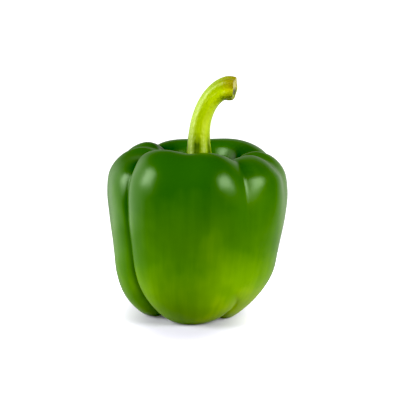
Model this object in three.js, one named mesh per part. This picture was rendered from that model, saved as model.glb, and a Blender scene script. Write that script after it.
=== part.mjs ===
// A green bell pepper standing upright on the feet of its four lobes, as picked, with its calyx
// and its cut stem. Millimetres, +Z up. The viewer of the upright fruit stands on the -Y side.
// The origin is on the floor, under the middle of the fruit's widest outline.

import * as THREE from "three";
import { mergeVertices } from "three/addons/utils/BufferGeometryUtils.js";

// Fruit: driving dimensions

// Where the crown of the fruit stands, so that the origin is under the middle of the fruit.
const AXIS_X = 0.33;
const AXIS_Y = -0.09;
// Outline of a lobe along its crest, as [radius, height] from the blossom end, down to the foot,
// up the side, over the shoulder and down into the hollow that holds the calyx.
const CREST_OUTLINE = [
  [0, 7], [7, 5.4], [13, 1.2], [19, -0.4], [25.8, 1.8], [33.4, 10], [37.8, 21], [40.1, 36],
  [42.3, 49], [43.7, 61], [42.5, 72], [37.3, 80], [29.3, 83.6], [21.8, 81.8], [18, 75],
  [11.5, 69.6], [0, 68.5],
];
// The same outline along the bottom of a furrow between two lobes, point for point.
const FURROW_OUTLINE = [
  [0, 7], [8, 7.2], [13.5, 7.4], [19, 8.2], [24.3, 11.5], [30.6, 19], [34.6, 28], [37.2, 40],
  [38.9, 50], [39, 60.5], [37, 69], [32, 74.5], [25.8, 76], [20, 74], [15.5, 71.6],
  [11, 69.5], [0, 68.5],
];
// The four furrows: bearing from the front in degrees, turning to the right, and its turns at the
// foot and round the crest; how deep the furrow is at the foot, waist, shoulder and crest, as a
// share of the way from the crest outline to the furrow outline; the heights between which its
// upper part deepens; and how softly its bottom is rounded.
const FURROWS = [
  {
    bearing: -56, footTurn: 1, crestTurn: -12, foot: 1, waist: 1, shoulder: 0.85, crest: 0.9,
    deepens: [50, 74], softness: 0.03,
  },
  {
    bearing: 33.5, footTurn: 10, crestTurn: 6, foot: 0.5, waist: 0.1, shoulder: 0.72, crest: 0.75,
    deepens: [36, 72], softness: 0.14,
  },
  {
    bearing: 101, footTurn: 0, crestTurn: 0, foot: 1, waist: 0.8, shoulder: 1, crest: 1,
    deepens: [50, 74], softness: 0.03,
  },
  {
    bearing: 227, footTurn: 0, crestTurn: 0, foot: 1, waist: 0.8, shoulder: 1, crest: 0.6,
    deepens: [50, 74], softness: 0.03,
  },
];
// The four lobes, each from the furrow above to the next: its lifts at its first and last furrow,
// how much its foot draws in, the dip that runs down the middle of its shoulder, and how widely
// its shoulder rounds to its two furrows.
const LOBES = [
  { lifts: [0.8, 0.3], drawIn: 1, dip: 2.9, dipAt: 0.05, dipWidth: 0.34, openings: [0.33, 0.66] },
  { lifts: [-3.9, -2.4], drawIn: 4.6, dip: 2.4, dipAt: 0.2, dipWidth: 0.3, openings: [0.72, 0.4] },
  { lifts: [-0.3, -0.3], drawIn: 0, dip: 1.4, dipAt: 0.15, dipWidth: 0.4, openings: [0.4, 0.4] },
  { lifts: [-0.1, -5], drawIn: 0, dip: 2.8, dipAt: -0.15, dipWidth: 0.27, openings: [0.4, 0.75] },
];
// How widely the furrows open below the shoulder: the lower, the flatter the middle of a lobe.
const WAIST_OPENING = 0.33;
// Shares of a dip that go inward and downward.
const DIP_INWARD = 0.9;
const DIP_DOWNWARD = 0.9;
// The foot of the fruit leans this far to the left of its crown.
const LEAN = 2;
// Heights between which each of these grows from nothing to its full size.
const LEAN_HEIGHTS = [60, 0];
const DRAW_IN_HEIGHTS = [26, 0];
const FOOT_TURN_HEIGHTS = [16, 2];
const FOOT_DEPTH_HEIGHTS = [20, 3];
const TOP_OPENING_HEIGHTS = [52, 76];
const LIFT_HEIGHTS = [66, 84];
const DIP_HEIGHTS = [42, 78];
const DIP_DOWNWARD_HEIGHTS = [60, 84];
const CREST_HEIGHTS = [50, 70];
// Places across a lobe, from -1 to 1, between which its lift passes from the first to the last.
const LIFT_PLACES = [-0.3, 0.9];
// Radii between which the crest is crossed inwards, and between which the calyx's seat ends.
const CREST_RADII = [43, 28];
const SEAT_RADII = [9, 21];
// The radius from which the foot of a lobe draws in by its full amount.
const DRAW_IN_RADIUS = 25;
const COLUMNS_PER_LOBE = 26;
const FRUIT_ROWS = 42;
// Share of the column spacing that crowds the columns towards the furrows, where the wall turns.
const CROWDING = 0.6;
// Share of the outline, at its end, that is the inside of the hollow.
const HOLLOW_SHARE = 0.2;

// Stem and calyx: driving dimensions

// Middle line of the stem as [x, y, height] from the calyx to the cut, and the radius along it.
const STEM_LINE = [
  [0.4, 0, 66], [0.3, 0, 77], [0.4, 0, 86.5], [1.6, -0.3, 95.2], [4.9, -0.8, 103.1],
  [9.5, -1.4, 108.2], [13.9, -2, 109.8], [17.4, -2.8, 109.7],
];
const STEM_RADII = [8, 6.4, 5.3, 4.8, 4.7, 4.95, 5.7, 5.2];
const STEM_LENGTH = 55;
// The stem is five-sided. Its ribs turn a little along it, and stand up little at the calyx and
// clearly at the cut.
const RIB_COUNT = 5;
const FIRST_RIB_BEARING = 24;
const RIB_TWIST = 10;
const RIB_SHARE_AT_CALYX = 0.02;
const RIB_SHARE_AT_CUT = 0.16;
// The bruised edge of the cut, and how far the soft pith in its middle has sunk.
const CUT_EDGE_WIDTH = 0.8;
const CUT_EDGE_LENGTH = 0.7;
const PITH_SINK = 0.4;
// On its lower side the end is rounded, this far back and inward.
const END_ROUND_LENGTH = 1.7;
const END_ROUND_DEPTH = 0.6;
// The calyx lies in the hollow like a saucer and ends in five short sepal tips above the ribs.
const CALYX_RADIUS = 11.8;
const SEPAL_TIP = 2.2;
const SEPAL_SHARPNESS = 5;
const CALYX_EDGE = 0.8;
const CALYX_THICKNESS = 1.5;
const CALYX_GAP = 0.4;
const STEM_COLUMNS = 45;
const STEM_ROWS = 26;
// Share of the middle line at which the calyx has become the stem.
const STEM_START = 0.09;

function smoothStep([from, to], value) {
  const share = THREE.MathUtils.clamp((value - from) / (to - from), 0, 1);
  return share * share * (3 - 2 * share);
}

function outlineCurve(points) {
  return new THREE.SplineCurve(points.map(([radius, height]) => new THREE.Vector2(radius, height)));
}

const crestCurve = outlineCurve(CREST_OUTLINE);
const furrowCurve = outlineCurve(FURROW_OUTLINE);

// How far round the shoulder a point of the crest outline is: 0 outside and 1 inside the crest.
function insideCrest(crest) {
  return smoothStep(CREST_RADII, crest.x) * smoothStep(CREST_HEIGHTS, crest.y);
}

// Bearings, in degrees, of the furrows on both sides of a lobe, at a point of the crest outline.
function lobeEdges(lobe, crest) {
  const low = smoothStep(FOOT_TURN_HEIGHTS, crest.y);
  const inner = insideCrest(crest);
  const [start, end] = [FURROWS[lobe], FURROWS[(lobe + 1) % FURROWS.length]].map(
    ({ bearing, footTurn, crestTurn }) => bearing + footTurn * low + crestTurn * inner,
  );
  return [start, end > start ? end : end + 360];
}

// How deep a furrow is at a point of the crest outline.
function furrowDepth(furrow, crest) {
  const upper = THREE.MathUtils.lerp(furrow.shoulder, furrow.crest, insideCrest(crest));
  const foot = (furrow.foot - furrow.waist) * smoothStep(FOOT_DEPTH_HEIGHTS, crest.y);
  return furrow.waist + foot + (upper - furrow.waist) * smoothStep(furrow.deepens, crest.y);
}

// 1 in the middle of a lobe, falling to 0 at the furrows.
function lobeFullness(across, softness, opening) {
  const inside = Math.hypot(Math.max(1 - across * across, 0), softness);
  const lowest = softness ** opening;
  return (inside ** opening - lowest) / (1 - lowest);
}

// Bearing, radius and height of the fruit's skin at a place across a lobe, from -1 to 1, and at a
// share of the way along the outline.
function skinPoint(lobe, across, along) {
  const first = FURROWS[lobe];
  const last = FURROWS[(lobe + 1) % FURROWS.length];
  const { lifts, drawIn, dip, dipAt, dipWidth, openings } = LOBES[lobe];
  const crest = crestCurve.getPoint(along);
  const furrow = furrowCurve.getPoint(along);
  const share = smoothStep([-1, 1], across);
  const softness = THREE.MathUtils.lerp(first.softness, last.softness, share);
  const topOpening = THREE.MathUtils.lerp(...openings, share);
  const top = smoothStep(TOP_OPENING_HEIGHTS, crest.y);
  const opening = THREE.MathUtils.lerp(WAIST_OPENING, topOpening, top);
  const fullness = lobeFullness(across, softness, opening);
  const depth = THREE.MathUtils.lerp(furrowDepth(first, crest), furrowDepth(last, crest), share);
  const skin = crest.clone().lerp(furrow, (1 - fullness) * depth);
  const outsideSeat = smoothStep(SEAT_RADII, skin.x);
  const upper = smoothStep(LIFT_HEIGHTS, skin.y) * outsideSeat;
  const lower = smoothStep(DRAW_IN_HEIGHTS, skin.y) * Math.min(skin.x / DRAW_IN_RADIUS, 1);
  const dipShape = Math.exp(-(((across - dipAt) / dipWidth) ** 2));
  const dipHere = dip * dipShape * smoothStep(DIP_HEIGHTS, skin.y) * outsideSeat;
  const lift = THREE.MathUtils.lerp(...lifts, smoothStep(LIFT_PLACES, across));
  const sunk = DIP_DOWNWARD * dipHere * smoothStep(DIP_DOWNWARD_HEIGHTS, skin.y);
  const [start, end] = lobeEdges(lobe, crest);
  return {
    bearing: THREE.MathUtils.lerp(start, end, (across + 1) / 2),
    radius: skin.x - drawIn * lower * fullness - DIP_INWARD * dipHere,
    height: Math.max(skin.y + lift * fullness * upper - sunk, 0),
  };
}

// A point around an upright axis: bearing 0 faces the viewer and 90 degrees is to the right.
function pointAround(bearing, radius, height) {
  const angle = THREE.MathUtils.degToRad(bearing);
  return new THREE.Vector3(radius * Math.sin(angle), -radius * Math.cos(angle), height);
}

// A closed body of revolution whose rings are then shaped by placeVertex(column, row).
function shapedLathe(columns, rows, placeVertex) {
  const profile = [];
  for (let row = 0; row <= rows; row += 1) {
    const turn = (row / rows) * Math.PI;
    profile.push(new THREE.Vector2(Math.sin(turn), -Math.cos(turn)));
  }
  const geometry = new THREE.LatheGeometry(profile, columns);
  const position = geometry.getAttribute("position");
  for (let index = 0; index < position.count; index += 1) {
    const column = Math.floor(index / profile.length) % columns;
    const point = placeVertex(column, index % profile.length);
    position.setXYZ(index, point.x, point.y, point.z);
  }
  geometry.deleteAttribute("normal");
  geometry.deleteAttribute("uv");
  const merged = mergeVertices(geometry, 1e-3);
  merged.computeVertexNormals();
  return merged;
}

// Fruit: one hollow-shouldered, four-lobed body with a waxy skin, standing on the lobes' feet.
// The walls and the seed core inside can't be seen, so it is one solid body here.

function fruitVertex(column, row) {
  const lobe = Math.floor(column / COLUMNS_PER_LOBE);
  const even = ((column % COLUMNS_PER_LOBE) / COLUMNS_PER_LOBE) * 2 - 1;
  const across = THREE.MathUtils.lerp(even, Math.sin((even * Math.PI) / 2), CROWDING);
  const along = crestCurve.getUtoTmapping(row / FRUIT_ROWS);
  const { bearing, radius, height } = skinPoint(lobe, across, along);
  const point = pointAround(bearing, radius, height);
  point.x += AXIS_X - LEAN * smoothStep(LEAN_HEIGHTS, height);
  point.y += AXIS_Y;
  return point;
}

const fruit = new THREE.Mesh(
  shapedLathe(COLUMNS_PER_LOBE * FURROWS.length, FRUIT_ROWS, fruitVertex),
  new THREE.MeshStandardMaterial({ color: 0x3e6f02, roughness: 0.25, metalness: 0 }),
);
fruit.name = "fruit";

// Stem with calyx: one woody green piece. The calyx spreads in the hollow below the stem and
// follows its floor, and the stem rises from it, bends to the right and ends in the cut.

const stemLine = new THREE.CatmullRomCurve3(
  STEM_LINE.map(([x, y, height]) => new THREE.Vector3(x, y, height)),
);
const stemRadius = new THREE.SplineCurve(
  STEM_RADII.map((radius, index) => new THREE.Vector2(index, radius)),
);

// The lobe at a bearing inside the crest, and the place across it, from -1 to 1.
function placeInHollow(bearing) {
  const floor = crestCurve.getPoint(1 - HOLLOW_SHARE / 2);
  const first = lobeEdges(0, floor)[0];
  const turned = THREE.MathUtils.euclideanModulo(bearing - first, 360) + first;
  let lobe = 0;
  while (lobe < FURROWS.length - 1 && turned >= lobeEdges(lobe, floor)[1]) {
    lobe += 1;
  }
  const [start, end] = lobeEdges(lobe, floor);
  return { lobe, across: ((turned - start) / (end - start)) * 2 - 1 };
}

// Height of the hollow's floor at a bearing and radius, found by halving the last of the outline.
function hollowHeight(bearing, radius) {
  const { lobe, across } = placeInHollow(bearing);
  let outer = 1 - HOLLOW_SHARE;
  let inner = 1;
  for (let step = 0; step < 30; step += 1) {
    const middle = (outer + inner) / 2;
    if (skinPoint(lobe, across, middle).radius > radius) {
      outer = middle;
    } else {
      inner = middle;
    }
  }
  return skinPoint(lobe, across, inner).height;
}

// 1 on the ribs of the stem and -1 in the grooves between them.
function ribWave(bearing, along) {
  const first = FIRST_RIB_BEARING + RIB_TWIST * along;
  return Math.cos(THREE.MathUtils.degToRad((bearing - first) * RIB_COUNT));
}

function sepalReach(bearing) {
  return CALYX_RADIUS + SEPAL_TIP * ((1 + ribWave(bearing, 0)) / 2) ** SEPAL_SHARPNESS;
}

function calyxVertex(bearing, reachShare, thickness) {
  const radius = sepalReach(bearing) * reachShare;
  return pointAround(bearing, radius, hollowHeight(bearing, radius) + CALYX_GAP + thickness);
}

// A point on the stem's skin, or inside it, at a share of the way along the middle line.
function stemVertex(bearing, along, inset) {
  const centre = stemLine.getPoint(along);
  const upward = stemLine.getTangent(along);
  const right = upward.clone().cross(new THREE.Vector3(0, -1, 0)).normalize();
  const front = right.clone().cross(upward);
  const ribShare = THREE.MathUtils.lerp(RIB_SHARE_AT_CALYX, RIB_SHARE_AT_CUT, along ** 3);
  const radius = stemRadius.getPoint(along).y * (1 + ribShare * ribWave(bearing, along)) - inset;
  const angle = THREE.MathUtils.degToRad(bearing);
  return centre
    .addScaledVector(right, Math.max(radius, 0) * Math.sin(angle))
    .addScaledVector(front, Math.max(radius, 0) * Math.cos(angle));
}

// The rings from the middle of the calyx's underside round its edge and up its top.
const calyxRings = [
  (bearing) => calyxVertex(bearing, 0, 0),
  (bearing) => calyxVertex(bearing, 0.3, 0),
  (bearing) => calyxVertex(bearing, 0.6, 0),
  (bearing) => calyxVertex(bearing, 0.82, 0),
  (bearing) => calyxVertex(bearing, 0.96, 0),
  (bearing) => calyxVertex(bearing, 1, CALYX_EDGE / 2),
  (bearing) => calyxVertex(bearing, 0.96, CALYX_EDGE),
  (bearing) => calyxVertex(bearing, 0.82, CALYX_THICKNESS),
  (bearing) => calyxVertex(bearing, 0.7, CALYX_THICKNESS * 1.4),
];

// 1 at the lower side of the bent end, and 0 round its upper half.
function lowerSide(bearing) {
  return Math.max(Math.sin(THREE.MathUtils.degToRad(bearing)), 0) ** 2;
}

function stemRing(step) {
  const last = 1 - CUT_EDGE_LENGTH / STEM_LENGTH;
  const along = THREE.MathUtils.lerp(STEM_START, last, step / STEM_ROWS);
  const roundBack = step === STEM_ROWS ? END_ROUND_LENGTH / STEM_LENGTH : 0;
  return (bearing) => stemVertex(bearing, along - roundBack * lowerSide(bearing), 0);
}

const stemRings = Array.from({ length: STEM_ROWS + 1 }, (_, step) => stemRing(step));
const cutRings = [
  (bearing) => stemVertex(bearing, 1, CUT_EDGE_WIDTH + END_ROUND_DEPTH * lowerSide(bearing)),
  () => stemLine.getPoint(1).addScaledVector(stemLine.getTangent(1), -PITH_SINK),
];
const rings = [...calyxRings, ...stemRings, ...cutRings];

function stemAndCalyxVertex(column, row) {
  const point = rings[row]((column / STEM_COLUMNS) * 360);
  point.x += AXIS_X;
  point.y += AXIS_Y;
  return point;
}

const stemWithCalyx = new THREE.Mesh(
  shapedLathe(STEM_COLUMNS, rings.length - 1, stemAndCalyxVertex),
  new THREE.MeshStandardMaterial({ color: 0x9bb805, roughness: 0.5, metalness: 0 }),
);
stemWithCalyx.name = "stem_with_calyx";

const group = new THREE.Group();
group.name = "bell_pepper";
group.add(fruit, stemWithCalyx);

export default group;
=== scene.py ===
import math

import bmesh
import bpy
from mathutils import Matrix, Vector


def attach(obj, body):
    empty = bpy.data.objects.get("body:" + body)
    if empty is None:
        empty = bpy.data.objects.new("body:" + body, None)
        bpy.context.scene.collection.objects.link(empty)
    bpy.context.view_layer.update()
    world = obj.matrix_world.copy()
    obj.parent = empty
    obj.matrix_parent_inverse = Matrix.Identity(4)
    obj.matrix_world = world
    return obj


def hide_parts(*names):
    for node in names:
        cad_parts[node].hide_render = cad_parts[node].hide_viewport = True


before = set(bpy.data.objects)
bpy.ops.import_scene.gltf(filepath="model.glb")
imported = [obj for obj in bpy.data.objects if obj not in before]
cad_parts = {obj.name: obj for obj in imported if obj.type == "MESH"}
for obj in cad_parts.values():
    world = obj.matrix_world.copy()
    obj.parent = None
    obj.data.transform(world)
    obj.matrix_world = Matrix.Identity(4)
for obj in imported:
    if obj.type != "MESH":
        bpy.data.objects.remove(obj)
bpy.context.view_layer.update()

# Fruit
# The whole bell pepper as it grew: four lobes between four furrows, a shoulder that rolls in to
# the hollow of the calyx, and a foot under each lobe. Its skin is thin, tough and waxy. It is
# shaped from a ball by one formula, because a skin that swells and folds like this has no flats.

MM = 0.001
# Outlines as (radius, height) in millimetres, from the blossom end round to the hollow.
CREST_OUTLINE = (
    (0, 7), (7, 5.4), (13, 1.2), (19, -0.4), (25.8, 1.8), (33.4, 10), (37.8, 21), (40.1, 36),
    (42.3, 49), (43.7, 61), (42.5, 72), (37.3, 80), (29.3, 83.6), (21.8, 81.8), (18, 75),
    (11.5, 69.6), (0, 68.5),
)
FURROW_OUTLINE = (
    (0, 7), (8, 7.2), (13.5, 7.4), (19, 8.2), (24.3, 11.5), (30.6, 19), (34.6, 28), (37.2, 40),
    (38.9, 50), (39, 60.5), (37, 69), (32, 74.5), (25.8, 76), (20, 74), (15.5, 71.6),
    (11, 69.5), (0, 68.5),
)
# The furrows: bearing from the front, turning to the right, and its turns at the foot and round
# the crest, in degrees; depths at the foot, waist, shoulder and crest, as a share of the way from
# the crest outline to the furrow outline; the heights between which the upper part deepens; and
# how softly the bottom is rounded.
FURROWS = (
    dict(bearing=-56, foot_turn=1, crest_turn=-12, depths=(1, 1, 0.85, 0.9),
         deepens=(50, 74), softness=0.03),
    dict(bearing=33.5, foot_turn=10, crest_turn=6, depths=(0.5, 0.1, 0.72, 0.75),
         deepens=(36, 72), softness=0.14),
    dict(bearing=101, foot_turn=0, crest_turn=0, depths=(1, 0.8, 1, 1),
         deepens=(50, 74), softness=0.03),
    dict(bearing=227, foot_turn=0, crest_turn=0, depths=(1, 0.8, 1, 0.6),
         deepens=(50, 74), softness=0.03),
)
# The lobes, each from the furrow above to the next: lifts at its first and last furrow, how far
# its foot draws in, the depth, place and width of the dip down the middle of its shoulder, and how
# widely it rounds to its two furrows at the shoulder.
LOBES = (
    dict(lifts=(0.8, 0.3), draw_in=1, dip=2.9, dip_at=0.05, dip_width=0.34,
         openings=(0.33, 0.66)),
    dict(lifts=(-3.9, -2.4), draw_in=4.6, dip=2.4, dip_at=0.2, dip_width=0.3,
         openings=(0.72, 0.4)),
    dict(lifts=(-0.3, -0.3), draw_in=0, dip=1.4, dip_at=0.15, dip_width=0.4,
         openings=(0.4, 0.4)),
    dict(lifts=(-0.1, -5), draw_in=0, dip=2.8, dip_at=-0.15, dip_width=0.27,
         openings=(0.4, 0.75)),
)
# How widely the furrows open below the shoulder: the lower, the flatter the middle of a lobe.
WAIST_OPENING = 0.33
# The dip sinks the shoulder inwards and downwards by these shares of its depth.
DIP_INWARD = 0.9
DIP_DOWNWARD = 0.9
# The foot of the fruit leans this far to the left of its crown.
LEAN = 2
# Where the crown stands, so that the origin is under the middle of the fruit's widest outline.
AXIS = (0.33, -0.09)
# Heights between which each of these grows from nothing to its full size.
LEAN_HEIGHTS = (60, 0)
DRAW_IN_HEIGHTS = (26, 0)
FOOT_TURN_HEIGHTS = (16, 2)
FOOT_DEPTH_HEIGHTS = (20, 3)
TOP_OPENING_HEIGHTS = (52, 76)
LIFT_HEIGHTS = (66, 84)
DIP_HEIGHTS = (42, 78)
DIP_DOWNWARD_HEIGHTS = (60, 84)
CREST_HEIGHTS = (50, 70)
# Places across a lobe, from -1 to 1, between which its lift passes from the first to the last.
LIFT_PLACES = (-0.3, 0.9)
# Radii between which the crest is crossed inwards, and between which the calyx's seat ends.
CREST_RADII = (43, 28)
SEAT_RADII = (9, 21)
# The radius from which the foot of a lobe draws in by its full amount.
DRAW_IN_RADIUS = 25
# The ball's columns and rows, and how far its columns crowd towards the furrows: 0 is evenly.
COLUMNS_PER_LOBE = 56
FRUIT_ROWS = 132
CROWDING = 0.6
# The streaks of the skin are drawn on a straight cylinder of this radius, wound round the fruit.
STREAK_RADIUS = 40


def clamp(value):
    return min(max(value, 0), 1)


def mix(a, b, share):
    return a + (b - a) * share


def smooth_step(limits, value):
    start, end = limits
    share = clamp((value - start) / (end - start))
    return share * share * (3 - 2 * share)


def curve_point(points, share):
    """A point at a share of the way along a smooth curve through the points."""
    place = clamp(share) * (len(points) - 1)
    first = min(int(place), len(points) - 2)
    t = place - first
    around = [points[min(max(first + step, 0), len(points) - 1)] for step in (-1, 0, 1, 2)]
    result = []
    for before, a, b, after in zip(*around):
        tangent_a = (b - before) / 2
        tangent_b = (after - a) / 2
        cubic = 2 * a - 2 * b + tangent_a + tangent_b
        square = -3 * a + 3 * b - 2 * tangent_a - tangent_b
        result.append(cubic * t ** 3 + square * t ** 2 + tangent_a * t + a)
    return result


def even_shares(points, count):
    """Shares along a curve that lie at even distances from each other."""
    fine_steps = 400
    steps = [curve_point(points, i / fine_steps) for i in range(fine_steps + 1)]
    travelled = [0]
    for a, b in zip(steps, steps[1:]):
        travelled.append(travelled[-1] + math.dist(a, b))
    shares = []
    i = 0
    for number in range(count + 1):
        target = travelled[-1] * number / count
        while i < fine_steps - 1 and travelled[i + 1] < target:
            i += 1
        part = (target - travelled[i]) / (travelled[i + 1] - travelled[i])
        shares.append((i + part) / fine_steps)
    return shares


def inside_crest(crest_point):
    """How far round the shoulder a point of the crest outline is, from 0 outside to 1 inside."""
    radius, height = crest_point
    return smooth_step(CREST_RADII, radius) * smooth_step(CREST_HEIGHTS, height)


def lobe_edges(lobe, crest_point):
    """The bearings of the furrows on both sides of a lobe."""
    low = smooth_step(FOOT_TURN_HEIGHTS, crest_point[1])
    inner = inside_crest(crest_point)
    start, end = (
        furrow["bearing"] + furrow["foot_turn"] * low + furrow["crest_turn"] * inner
        for furrow in (FURROWS[lobe], FURROWS[(lobe + 1) % len(FURROWS)]))
    return start, end if end > start else end + 360


def place_in_hollow(bearing):
    """The lobe at a bearing inside the crest, and the place in it, from -1 to 1 across it."""
    floor = CREST_OUTLINE[-2]
    first = lobe_edges(0, floor)[0]
    turned = (bearing - first) % 360 + first
    lobe = 0
    while lobe < len(FURROWS) - 1 and turned >= lobe_edges(lobe, floor)[1]:
        lobe += 1
    start, end = lobe_edges(lobe, floor)
    return lobe, (turned - start) / (end - start) * 2 - 1


def furrow_depth(furrow, crest_point):
    """The depth of a furrow, as a share of the way to the furrow outline."""
    foot, waist, shoulder, crest = furrow["depths"]
    upper = mix(shoulder, crest, inside_crest(crest_point))
    at_foot = (foot - waist) * smooth_step(FOOT_DEPTH_HEIGHTS, crest_point[1])
    return waist + at_foot + (upper - waist) * smooth_step(furrow["deepens"], crest_point[1])


def lobe_fullness(across, softness, opening):
    """1 in the middle of a lobe, falling to 0 at the furrows."""
    inside = math.hypot(max(1 - across * across, 0), softness)
    lowest = softness ** opening
    return (inside ** opening - lowest) / (1 - lowest)


def skin_point(lobe, across, along):
    """Bearing, radius and height of the skin, and how deep in a furrow the place is."""
    first, last = FURROWS[lobe], FURROWS[(lobe + 1) % len(FURROWS)]
    shape = LOBES[lobe]
    crest = curve_point(CREST_OUTLINE, along)
    furrow = curve_point(FURROW_OUTLINE, along)
    share = smooth_step((-1, 1), across)
    softness = mix(first["softness"], last["softness"], share)
    top_opening = mix(*shape["openings"], share)
    opening = mix(WAIST_OPENING, top_opening, smooth_step(TOP_OPENING_HEIGHTS, crest[1]))
    fullness = lobe_fullness(across, softness, opening)
    depth = mix(furrow_depth(first, crest), furrow_depth(last, crest), share) * (1 - fullness)
    radius = mix(crest[0], furrow[0], depth)
    height = mix(crest[1], furrow[1], depth)
    outside_seat = smooth_step(SEAT_RADII, radius)
    upper = smooth_step(LIFT_HEIGHTS, height) * outside_seat
    lower = smooth_step(DRAW_IN_HEIGHTS, height) * clamp(radius / DRAW_IN_RADIUS)
    dip_shape = math.exp(-(((across - shape["dip_at"]) / shape["dip_width"]) ** 2))
    dip = shape["dip"] * dip_shape * smooth_step(DIP_HEIGHTS, height) * outside_seat
    lift = mix(*shape["lifts"], smooth_step(LIFT_PLACES, across))
    skin_radius = radius - shape["draw_in"] * lower * fullness - DIP_INWARD * dip
    sunk = DIP_DOWNWARD * dip * smooth_step(DIP_DOWNWARD_HEIGHTS, height)
    bearing = mix(*lobe_edges(lobe, crest), (across + 1) / 2)
    return bearing, skin_radius, max(height + lift * fullness * upper - sunk, 0), depth


def point_around(bearing, radius, height):
    angle = math.radians(bearing)
    return Vector((radius * math.sin(angle), -radius * math.cos(angle), height))


def bearing_of(point):
    return math.degrees(math.atan2(point.x, -point.y)) % 360


def column_place(bearing):
    """The lobe and place of an even column, moved towards the furrows, where the skin turns."""
    place = bearing / 360 * len(FURROWS)
    lobe = min(int(place), len(FURROWS) - 1)
    even = (place - lobe) * 2 - 1
    return lobe, mix(even, math.sin(even * math.pi / 2), CROWDING)


bpy.ops.object.select_all(action="DESELECT")
bpy.ops.mesh.primitive_uv_sphere_add(
    segments=COLUMNS_PER_LOBE * len(FURROWS), ring_count=FRUIT_ROWS, radius=1)
fruit = bpy.context.object
fruit.name = "waxy_fruit"
fruit_shares = even_shares(CREST_OUTLINE, FRUIT_ROWS)
depth_in_furrow = fruit.data.attributes.new("depth_in_furrow", "FLOAT", "POINT")
along_skin = fruit.data.attributes.new("along_skin", "FLOAT_VECTOR", "POINT")
for vertex in fruit.data.vertices:
    row = round(math.acos(-vertex.co.z) / math.pi * FRUIT_ROWS)
    lobe, across = column_place(bearing_of(vertex.co))
    bearing, radius, height, depth = skin_point(lobe, across, fruit_shares[row])
    point = point_around(bearing, radius, height)
    point.x += AXIS[0] - LEAN * smooth_step(LEAN_HEIGHTS, height)
    point.y += AXIS[1]
    vertex.co = point * MM
    depth_in_furrow.data[vertex.index].value = depth
    along_skin.data[vertex.index].vector = point_around(bearing, STREAK_RADIUS, row) * MM
bpy.ops.object.shade_smooth()


def linear(hex_colour):
    """An sRGB hex colour as linear red, green, blue and alpha."""
    channels = [int(hex_colour[i:i + 2], 16) / 255 for i in (1, 3, 5)]
    return [c / 12.92 if c <= 0.04045 else ((c + 0.055) / 1.055) ** 2.4 for c in channels] + [1]


def new_material(name):
    """A new material, with its node tree and its surface shader."""
    material = bpy.data.materials.new(name)
    material.use_nodes = True
    return material, material.node_tree, material.node_tree.nodes["Principled BSDF"]


def set_inputs(tree, node, inputs):
    """Gives each named or numbered input a constant, or a link from another node's output."""
    for name, value in inputs.items():
        if isinstance(value, bpy.types.NodeSocket):
            tree.links.new(value, node.inputs[name])
        else:
            node.inputs[name].default_value = value


def add_node(tree, kind, inputs=None, **properties):
    node = tree.nodes.new(kind)
    for name, value in properties.items():
        setattr(node, name, value)
    set_inputs(tree, node, inputs or {})
    return node


def add_attribute(tree, name, output):
    """Reads what was noted on the mesh under this name."""
    return add_node(tree, "ShaderNodeAttribute", attribute_name=name).outputs[output]


def add_mapping(tree, vector, scale, location=(0, 0, 0)):
    inputs = {"Vector": vector, "Scale": scale, "Location": location}
    return add_node(tree, "ShaderNodeMapping", inputs).outputs["Vector"]


def add_noise(tree, vector, size, detail, roughness):
    """Soft random patches of about the given size."""
    inputs = {"Vector": vector, "Scale": 1 / size, "Detail": detail, "Roughness": roughness}
    return add_node(tree, "ShaderNodeTexNoise", inputs).outputs["Fac"]


def add_math(tree, operation, *values, use_clamp=False):
    node = add_node(
        tree, "ShaderNodeMath", dict(enumerate(values)), operation=operation, use_clamp=use_clamp)
    return node.outputs["Value"]


def add_dot_product(tree, vector, direction):
    """How far a vector reaches along a direction."""
    node = add_node(
        tree, "ShaderNodeVectorMath", {0: vector, 1: direction}, operation="DOT_PRODUCT")
    return node.outputs["Value"]


def add_range(tree, value, start, end, low=0, high=1, interpolation="LINEAR"):
    """Maps a value between start and end, which may fall, to one between low and high."""
    inputs = {"Value": value, "From Min": start, "From Max": end, "To Min": low, "To Max": high}
    node = add_node(
        tree, "ShaderNodeMapRange", inputs, interpolation_type=interpolation, clamp=True)
    return node.outputs["Result"]


def add_ramp(tree, share, *stops):
    """Turns a share into a colour between stops of (position, hex colour)."""
    node = add_node(tree, "ShaderNodeValToRGB", {"Fac": share})
    elements = node.color_ramp.elements
    while len(elements) < len(stops):
        elements.new(1)
    for element, (position, colour) in zip(elements, stops):
        element.position = position
        element.color = linear(colour)
    return node.outputs["Color"]


def add_colour_mix(tree, share, first, second, blend_type="MIX"):
    """Mixes a second colour into a first one."""
    # The mix node also has sockets for numbers and vectors; these are its sockets for colours.
    first_input, second_input, mixed_output = 6, 7, 2
    node = add_node(
        tree, "ShaderNodeMix", {"Factor": share, first_input: first, second_input: second},
        data_type="RGBA", blend_type=blend_type)
    return node.outputs[mixed_output]


def add_bump(tree, height, strength, distance, normal=None):
    """Relief of a depth in metres, laid over an earlier relief if one is given."""
    inputs = {"Height": height, "Strength": strength, "Distance": distance}
    if normal is not None:
        inputs["Normal"] = normal
    return add_node(tree, "ShaderNodeBump", inputs).outputs["Normal"]


# Pepper skin: a cuticle of wax over green flesh. Under soft light it shows broad soft highlights.
# It runs from deep green at the shoulder to more yellow at the foot on the right, partly its own
# ripening and partly painted shade at the shoulder and painted light at the foot.
SKIN_GREENS = ((0, "#305802"), (0.35, "#436902"), (0.7, "#638402"), (1, "#8ea102"))
# Painted shade: the darker green laid deep in the furrows.
FURROW_SHADE_GREEN = "#154003"
WAX_REFLECTION = "#e6ffdb"
# How much riper and paler the skin is painted for each metre to the right, to the back and
# upwards: partly ripening, partly painted shade towards the top and painted light towards the
# foot.
RIPENING_AND_SHADE = (4, 0, -12.5)
RIPENESS_AND_SHADE_RANGE = (-0.25, 0.95)
BLOTCH_SIZE = 28 * MM
DENT_SIZE = 14 * MM
DENT_DEPTH = 0.8 * MM
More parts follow.
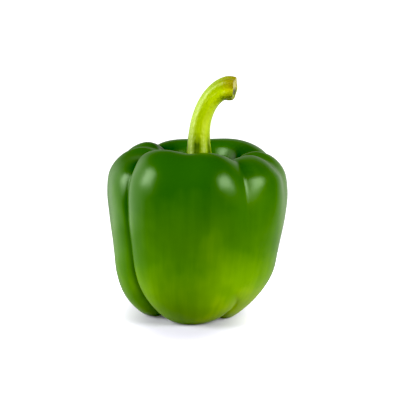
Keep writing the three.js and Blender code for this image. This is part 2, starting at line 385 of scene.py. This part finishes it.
# The rows of the skin are about 1.2 mm apart, and the streaks' cylinder counts a row as 1 mm.
STREAK_SIZE = 3.2 * MM
STREAK_STRETCH = (1, 1, 0.12)
STREAK_DEPTH = 0.1 * MM
STREAK_SHARE = 0.3
# Painted shade in the furrows: only the deeper part of a furrow is darker, and it takes this share
# of this shade green.
FURROW_SHADE_DEPTHS = (0.55, 1)
FURROW_SHADE_SHARE = 0.35
# The wax is a little uneven along the streaks.
WAX_ROUGHNESS = (0.28, 0.32)

skin, tree, shader = new_material("waxed_pepper_skin")
on_fruit = add_node(tree, "ShaderNodeTexCoord").outputs["Object"]
blotches = add_noise(tree, on_fruit, BLOTCH_SIZE, detail=3, roughness=0.5)
streak_space = add_mapping(tree, add_attribute(tree, "along_skin", "Vector"), STREAK_STRETCH)
streaks = add_noise(tree, streak_space, STREAK_SIZE, detail=3, roughness=0.55)
# Partly ripening and partly painted shade and light: darker towards the top, paler towards the
# lower right.
blotched_and_shaded = add_math(tree, "ADD", add_dot_product(tree, on_fruit, RIPENING_AND_SHADE), blotches)
ripeness_and_shade = add_math(tree, "MULTIPLY_ADD", streaks, STREAK_SHARE, blotched_and_shaded)
green = add_ramp(tree, add_range(tree, ripeness_and_shade, *RIPENESS_AND_SHADE_RANGE), *SKIN_GREENS)
# Painted shade: the skin darkens deep in the furrows.
in_furrow = add_attribute(tree, "depth_in_furrow", "Fac")
furrow_shade_share = add_range(tree, in_furrow, *FURROW_SHADE_DEPTHS, 0, FURROW_SHADE_SHARE)
dents = add_noise(tree, on_fruit, DENT_SIZE, detail=1, roughness=0.4)
dented = add_bump(tree, dents, strength=0.5, distance=DENT_DEPTH)
set_inputs(tree, shader, {
    "Base Color": add_colour_mix(tree, furrow_shade_share, green, linear(FURROW_SHADE_GREEN)),
    "Roughness": add_range(tree, streaks, 0, 1, *WAX_ROUGHNESS),
    "Normal": add_bump(
        tree, streaks, strength=0.03, distance=STREAK_DEPTH, normal=dented),
    "IOR": 1.35,
    "Specular Tint": linear(WAX_REFLECTION),
})
fruit.data.materials.append(skin)
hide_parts("fruit")
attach(fruit, "root")

# Stem with calyx
# The woody green stalk and the calyx at its foot are one tissue. Five ribs run along the stalk
# and end in the five sepal tips. It is pulled up ring by ring from the calyx and cut at the top.

# Middle line of the stem from the calyx to the cut, in millimetres, and its radii along it.
STEM_LINE = (
    (0.4, 0, 66), (0.3, 0, 77), (0.4, 0, 86.5), (1.6, -0.3, 95.2), (4.9, -0.8, 103.1),
    (9.5, -1.4, 108.2), (13.9, -2, 109.8), (17.4, -2.8, 109.7),
)
STEM_RADII = ((8,), (6.4,), (5.3,), (4.8,), (4.7,), (4.95,), (5.7,), (5.2,))
STEM_LENGTH = 55
# The ribs stand up by these shares of the radius, and turn a little along the stem.
RIB_COUNT = 5
FIRST_RIB_BEARING = 24
RIB_SHARE_AT_CALYX = 0.02
RIB_SHARE_AT_CUT = 0.16
RIB_TWIST = 10
# The bevel and the width of the edge of the cut, and how far the pith inside it has sunk.
CUT_BEVEL = 0.12
CUT_EDGE_WIDTH = 0.7
PITH_SINK = 0.4
# On its lower side the end is rounded, this far back and inward. The last ring keeps to a part of
# the way back.
END_ROUND_LENGTH = 1.7
END_ROUND_DEPTH = 1.2
END_ROUND_SHARE_AT_CUT = 0.3
# The calyx lies just above the floor of the hollow. Its rings, from the middle of its lower side
# over its edge to its upper side, are (share of its reach, height above the lower side).
CALYX_RADIUS = 11.8
SEPAL_TIP = 2.2
SEPAL_SHARPNESS = 5
CALYX_EDGE = 0.8
CALYX_THICKNESS = 1.5
CALYX_GAP = 0.4
CALYX_RINGS = (
    (0.3, 0), (0.6, 0), (0.82, 0), (0.95, 0), (1, CALYX_EDGE / 2), (0.95, CALYX_EDGE),
    (0.82, CALYX_THICKNESS), (0.7, CALYX_THICKNESS * 1.4),
)
STEM_SIDES = 20
STEM_RINGS = 24
# Shares of the middle line at which the calyx has become the stem, and at the ring before the cut.
STEM_START = 0.09
STEM_END = 0.985
# Shares along the fruit's outlines of the inside of the crest and the middle of the hollow.
HOLLOW_SHARES = (0.8, 1)
HALVINGS = 30
# The pattern of the stalk is drawn on a straight stem of this radius.
STRAIGHT_RADIUS = 5


def hollow_height(bearing, radius):
    """The height of the hollow's floor at a bearing and radius, found by halving."""
    lobe, across = place_in_hollow(bearing)
    outer, inner = HOLLOW_SHARES
    for _ in range(HALVINGS):
        middle = (outer + inner) / 2
        if skin_point(lobe, across, middle)[1] > radius:
            outer = middle
        else:
            inner = middle
    return skin_point(lobe, across, inner)[2]


def rib_wave(bearing, along):
    """1 on the ribs and -1 in the grooves between them, which turn a little along the stem."""
    first = FIRST_RIB_BEARING + RIB_TWIST * along
    return math.cos(math.radians((bearing - first) * RIB_COUNT))


def calyx_point(bearing, reach_share, thickness):
    reach = CALYX_RADIUS + SEPAL_TIP * ((1 + rib_wave(bearing, 0)) / 2) ** SEPAL_SHARPNESS
    radius = reach * reach_share
    return point_around(bearing, radius, hollow_height(bearing, radius) + CALYX_GAP + thickness)


def stem_direction(along):
    step = 0.001
    ahead = Vector(curve_point(STEM_LINE, along + step))
    behind = Vector(curve_point(STEM_LINE, along - step))
    return (ahead - behind).normalized()


def lower_side(bearing):
    """1 at the lower side of the bent end, and 0 round its upper half."""
    return max(math.sin(math.radians(bearing)), 0) ** 2


def stem_point(bearing, along, inset=0):
    upward = stem_direction(along)
    right = upward.cross(Vector((0, -1, 0))).normalized()
    front = right.cross(upward)
    rib_share = mix(RIB_SHARE_AT_CALYX, RIB_SHARE_AT_CUT, along ** 3)
    radius = curve_point(STEM_RADII, along)[0] * (1 + rib_share * rib_wave(bearing, along)) - inset
    angle = math.radians(bearing)
    centre = Vector(curve_point(STEM_LINE, along))
    return centre + right * radius * math.sin(angle) + front * radius * math.cos(angle)


def place_ring(mesh, shape_at, along):
    """Moves the selected ring, and notes where it is on the stem as if that were straight."""
    edit = bmesh.from_edit_mesh(mesh)
    bearings = edit.verts.layers.float["bearing"]
    ribs = edit.verts.layers.float["rib"]
    straight = edit.verts.layers.float_vector["straight"]
    for vert in edit.verts:
        if vert.select:
            bearing = vert[bearings]
            vert.co = (shape_at(bearing) + Vector((*AXIS, 0))) * MM
            vert[ribs] = (1 + rib_wave(bearing, along)) / 2
            vert[straight] = point_around(bearing, STRAIGHT_RADIUS, along * STEM_LENGTH) * MM
    bmesh.update_edit_mesh(mesh)


bpy.ops.object.select_all(action="DESELECT")
bpy.ops.mesh.primitive_circle_add(vertices=STEM_SIDES, radius=1, fill_type="NGON")
stem = bpy.context.object
stem.name = "stem_and_calyx"
bpy.ops.object.mode_set(mode="EDIT")
edit = bmesh.from_edit_mesh(stem.data)
bearing_layer = edit.verts.layers.float.new("bearing")
edit.verts.layers.float.new("cut")
edit.verts.layers.float.new("rib")
edit.verts.layers.float_vector.new("straight")
for vert in edit.verts:
    vert[bearing_layer] = bearing_of(vert.co)
bmesh.update_edit_mesh(stem.data)
for number, (reach_share, thickness) in enumerate(CALYX_RINGS):
    if number > 0:
        bpy.ops.mesh.extrude_region_move()
    place_ring(stem.data, lambda bearing: calyx_point(bearing, reach_share, thickness), 0)
end_round = END_ROUND_LENGTH / STEM_LENGTH
for number in range(STEM_RINGS + 1):
    along = mix(STEM_START, STEM_END, number / STEM_RINGS)
    round_back = end_round if number == STEM_RINGS else 0
    bpy.ops.mesh.extrude_region_move()
    place_ring(
        stem.data,
        lambda bearing: stem_point(bearing, along - round_back * lower_side(bearing)), along)
bpy.ops.mesh.extrude_region_move()
place_ring(
    stem.data,
    lambda bearing: stem_point(
        bearing, 1 - END_ROUND_SHARE_AT_CUT * end_round * lower_side(bearing),
        END_ROUND_DEPTH * lower_side(bearing)),
    1)
bpy.ops.mesh.inset(thickness=CUT_BEVEL * MM)
bpy.ops.mesh.inset(thickness=CUT_EDGE_WIDTH * MM)
bpy.ops.transform.translate(value=stem_direction(1) * -PITH_SINK * MM)
edit = bmesh.from_edit_mesh(stem.data)
cut_layer = edit.verts.layers.float["cut"]
for vert in edit.verts:
    if vert.select:
        vert[cut_layer] = 1
bmesh.update_edit_mesh(stem.data)
bpy.ops.mesh.select_all(action="SELECT")
bpy.ops.mesh.normals_make_consistent(inside=False)
bpy.ops.object.mode_set(mode="OBJECT")
rounding = stem.modifiers.new("rounding", "SUBSURF")
rounding.levels = 2
rounding.render_levels = 2
bpy.ops.object.modifier_apply(modifier="rounding")
bpy.ops.object.shade_smooth()

# Pepper stalk: ribbed green tissue with long fibres, paler on the ribs, browned along the edge of
# the cut, with cream pith inside and darker on the lower side of its bent end. Low on the stalk,
# where it stands in the fruit's hollow, it carries painted shade, deepest in its grooves.

# The tones of the grooves and the ribs follow the way from the calyx to the cut, and those of the
# bruise and the pith go from the upper side of the bent end to its lower side.
# Painted shade: both ramps darken a little above the calyx, the grooves most, where the stalk
# stands in the fruit's hollow.
GROOVE_TONES_AND_SHADE = (
    (0, "#587c12"), (0.12, "#486c0c"), (0.2, "#304e04"), (0.29, "#304e04"), (0.4, "#9cb20a"),
    (0.8, "#aabf06"), (1, "#b4bc08"),
)
RIB_TONES_AND_SHADE = (
    (0, "#54740a"), (0.25, "#82981a"), (0.45, "#b6c738"), (0.75, "#a6ba12"), (1, "#949814"),
)
# Near the cut the upper side is browned and the lower side of the bent end darker olive; the pith
# is cream above and darker below.
BRUISE_TONES = ((0, "#877a1e"), (0.5, "#a09e10"), (1, "#84900a"))
PITH_TONES = ((0, "#a39f54"), (1, "#424a06"))
FIBRE_TONE = "#c9d068"
# Painted shade: the left side of the stem is darker and greener, where the other tones are
# multiplied by this one.
LEFT_SIDE_SHADE_TONE = "#ced6b0"
FIBRE_SIZE = 1.2 * MM
FIBRE_STRETCH = (1, 1, 0.12)
FIBRE_DEPTH = 0.25 * MM
PATCH_SIZE = 5 * MM
PIMPLE_SIZE = 1.6 * MM
PIMPLE_DEPTH = 0.5 * MM
# How far the patches blur the colours along the stem and across its ribs.
BLUR_ALONG = 0.12
BLUR_ACROSS = 0.6
# Ranges in which a rib stands out from its grooves and a fibre from the tissue, how strongly the
# fibre does, and the range of the way along the stem in which it browns.
RIB_RANGE = (0.3, 1)
FIBRE_RANGE = (0.5, 0.8)
FIBRE_SHARE = 0.35
BRUISE_RANGE = (0.82, 1.1)
# Distances to the right of the straight stem's middle, which is the lower side of the bent end.
LOWER_SIDE_RANGE = (-1 * MM, 1.5 * MM)
LEFT_SIDE_SHADE_RANGE = (1 * MM, -4 * MM)

stalk, tree, shader = new_material("fibrous_green_stalk")
straight = add_attribute(tree, "straight", "Vector")
straight_axes = add_node(tree, "ShaderNodeSeparateXYZ", {0: straight}).outputs
fibre_space = add_mapping(tree, straight, FIBRE_STRETCH)
fibres = add_noise(tree, fibre_space, FIBRE_SIZE, detail=4, roughness=0.6)
patches = add_noise(tree, straight, PATCH_SIZE, detail=3, roughness=0.6)
pimples = add_noise(tree, straight, PIMPLE_SIZE, detail=2, roughness=0.5)
way_along = add_math(tree, "DIVIDE", straight_axes["Z"], STEM_LENGTH * MM)
blurred_way = add_math(tree, "MULTIPLY_ADD", patches, BLUR_ALONG, way_along)
blurred_rib = add_math(
    tree, "MULTIPLY_ADD", patches, BLUR_ACROSS, add_attribute(tree, "rib", "Fac"), use_clamp=True)
# The ribs and grooves, with the painted shade low on the stalk.
ribbed = add_colour_mix(
    tree, add_range(tree, blurred_rib, *RIB_RANGE),
    add_ramp(tree, blurred_way, *GROOVE_TONES_AND_SHADE), add_ramp(tree, blurred_way, *RIB_TONES_AND_SHADE))
fibre_share = add_range(tree, fibres, *FIBRE_RANGE, 0, FIBRE_SHARE)
fibred = add_colour_mix(tree, fibre_share, ribbed, linear(FIBRE_TONE))
# Painted shade on the left side of the stalk.
left_shade_share = add_range(tree, straight_axes["X"], *LEFT_SIDE_SHADE_RANGE)
left_shaded = add_colour_mix(tree, left_shade_share, fibred, linear(LEFT_SIDE_SHADE_TONE), "MULTIPLY")
lower_share = add_range(tree, straight_axes["X"], *LOWER_SIDE_RANGE)
near_cut = add_range(tree, blurred_way, *BRUISE_RANGE)
bruised = add_colour_mix(tree, near_cut, left_shaded, add_ramp(tree, lower_share, *BRUISE_TONES))
with_pith = add_colour_mix(
    tree, add_attribute(tree, "cut", "Fac"), bruised, add_ramp(tree, lower_share, *PITH_TONES))
pimpled = add_bump(tree, pimples, strength=0.5, distance=PIMPLE_DEPTH)
set_inputs(tree, shader, {
    "Base Color": with_pith,
    "Roughness": 0.42,
    "Normal": add_bump(
        tree, fibres, strength=0.5, distance=FIBRE_DEPTH, normal=pimpled),
    "IOR": 1.42,
})
stem.data.materials.append(stalk)
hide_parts("stem_with_calyx")
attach(stem, "root")

# Table and light
# A round white table that glows faintly away from the fruit, a white wall behind and at both
# sides, two large soft lamps, and a dark room in front and above, so that the skin keeps its deep
# green between the highlights. The table's glow is painted light, and where it fades near the
# fruit it is a painted shadow.

TABLE_RADIUS = 0.17
TABLE_WHITE = "#b7b5bf"
# The painted shadow under the fruit is an ellipse, narrower from side to side and a little to the
# left.
SHADE_SCALE = (2.5, 1, 1)
SHADE_SHIFT = (15 * MM, 0, 0)
# Distances from the middle of the painted shadow between which the painted glow grows, and its
# strengths there.
GLOW_RANGE = (0.036, 0.125)
GLOW_STRENGTHS = (0.11, 1.2)
# In reflections, the table shows only this share of its painted glow.
GLOW_IN_REFLECTIONS = 0.1

bpy.ops.object.select_all(action="DESELECT")
bpy.ops.mesh.primitive_circle_add(vertices=96, radius=TABLE_RADIUS, fill_type="NGON")
table = bpy.context.object
table.name = "white_table"
# White table enamel: matt, with no highlights of its own, and a painted glow that is dimmed near
# the fruit into a painted shadow.
enamel_with_painted_shadow, tree, shader = new_material("white_table_with_painted_shadow")
on_table = add_node(tree, "ShaderNodeTexCoord").outputs["Object"]
shade_space = add_mapping(tree, on_table, SHADE_SCALE, SHADE_SHIFT)
from_fruit = add_node(
    tree, "ShaderNodeVectorMath", {0: shade_space}, operation="LENGTH").outputs["Value"]
glow = add_range(tree, from_fruit, *GLOW_RANGE, *GLOW_STRENGTHS, "SMOOTHSTEP")
reflected = add_node(tree, "ShaderNodeLightPath").outputs["Is Glossy Ray"]
dimming = add_range(tree, reflected, 0, 1, 1, GLOW_IN_REFLECTIONS)
set_inputs(tree, shader, {
    "Base Color": linear(TABLE_WHITE),
    "Roughness": 0.9,
    "Specular IOR Level": 0,
    "Emission Color": linear("#ffffff"),
    "Emission Strength": add_math(tree, "MULTIPLY", glow, dimming),
})
table.data.materials.append(enamel_with_painted_shadow)

# The light of the wall, by the direction that it comes from: it sets in beside the fruit and is
# full behind, ends upwards, and is brightest at the far left, faint in the middle and brighter
# again on the right.
WALL_DIRECTION = (-0.34, 0.94, 0)
WALL_RANGE = (-0.15, 0.45)
WALL_TOP_RANGE = (0.8, 0.4)
LEFT_RANGE = (-0.3, -0.8)
LEFT_STRENGTHS = (0.5, 2.3)
RIGHT_RANGE = (0.1, 0.4)
RIGHT_STRENGTHS = (0, 0.55)
ROOM_STRENGTH = 0.1
# What the camera itself sees behind the table.
BACKDROP_STRENGTH = 1.3

world = bpy.data.worlds.new("bright_back_dark_front")
bpy.context.scene.world = world
world.use_nodes = True
tree = world.node_tree
tree.nodes.clear()
direction = add_node(tree, "ShaderNodeTexCoord").outputs["Generated"]
direction_axes = add_node(tree, "ShaderNodeSeparateXYZ", {0: direction}).outputs
behind = add_dot_product(tree, direction, WALL_DIRECTION)
wall = add_range(tree, behind, *WALL_RANGE, interpolation="SMOOTHSTEP")
low = add_range(tree, direction_axes["Z"], *WALL_TOP_RANGE, interpolation="SMOOTHSTEP")
left = add_range(tree, direction_axes["X"], *LEFT_RANGE, *LEFT_STRENGTHS, "SMOOTHSTEP")
right = add_range(tree, direction_axes["X"], *RIGHT_RANGE, *RIGHT_STRENGTHS)
low_wall = add_math(tree, "MULTIPLY", wall, low)
wall_light = add_math(tree, "MULTIPLY", low_wall, add_math(tree, "ADD", left, right))
room_light = add_math(tree, "ADD", wall_light, ROOM_STRENGTH)
seen = add_node(tree, "ShaderNodeLightPath").outputs["Is Camera Ray"]
strength = add_node(
    tree, "ShaderNodeMix", {"Factor": seen, "A": room_light, "B": BACKDROP_STRENGTH})
backdrop = add_node(
    tree, "ShaderNodeBackground",
    {"Strength": strength.outputs["Result"], "Color": linear("#ffffff")})
add_node(tree, "ShaderNodeOutputWorld", {"Surface": backdrop.outputs["Background"]})

# Lamp name: bearing and elevation in degrees, distance, width and height in metres, and watts.
LAMPS = {
    "left_softbox": (-74, 24, 1.1, 0.56, 0.7, 20),
    "right_softbox": (54, 26, 1.1, 0.66, 0.54, 20),
}
LAMP_AIM = Vector((0, 0, 0.05))


def point_at(bearing, elevation, distance):
    """A point at a distance from the origin, in metres, seen at a bearing and an elevation."""
    angle = math.radians(elevation)
    return point_around(bearing, distance * math.cos(angle), distance * math.sin(angle))


for name, (bearing, elevation, distance, width, height, watts) in LAMPS.items():
    light = bpy.data.lights.new(name, "AREA")
    light.shape = "RECTANGLE"
    light.size = width
    light.size_y = height
    light.energy = watts
    lamp = bpy.data.objects.new(name, light)
    bpy.context.scene.collection.objects.link(lamp)
    offset = point_at(bearing, elevation, distance)
    lamp.location = LAMP_AIM + offset
    lamp.rotation_euler = offset.to_track_quat("Z", "Y").to_euler()
    lamp.visible_camera = False

# The finish of the picture: somewhat deeper middle tones and full blacks.
view = bpy.context.scene.view_settings
view.view_transform = "Standard"
view.gamma = 0.85
view.use_curve_mapping = True
view.curve_mapping.black_level = (0.032, 0.032, 0.032)
view.curve_mapping.update()

# Camera
# It stands 0.9 m in front of the fruit and looks down on it by ten degrees.

CAMERA_DISTANCE = 0.9
CAMERA_ELEVATION = 10
# The camera's distance is from the middle of the fruit, and it looks at the middle of the picture.
FRUIT_MIDDLE = Vector((0, 0, 0.042))
VIEW_CENTRE = Vector((0.00122, 0, 0.0561))
# How wide a strip the picture shows at the camera's distance, in metres.
VIEW_WIDTH = 0.19161
SENSOR_WIDTH = 36
camera_data = bpy.data.cameras.new("camera")
camera = bpy.data.objects.new("camera", camera_data)
bpy.context.scene.collection.objects.link(camera)
camera.location = FRUIT_MIDDLE + point_at(0, CAMERA_ELEVATION, CAMERA_DISTANCE)
camera.rotation_euler = (camera.location - VIEW_CENTRE).to_track_quat("Z", "Y").to_euler()
camera_data.sensor_width = SENSOR_WIDTH
camera_data.lens = SENSOR_WIDTH * CAMERA_DISTANCE / VIEW_WIDTH
bpy.context.scene.camera = camera
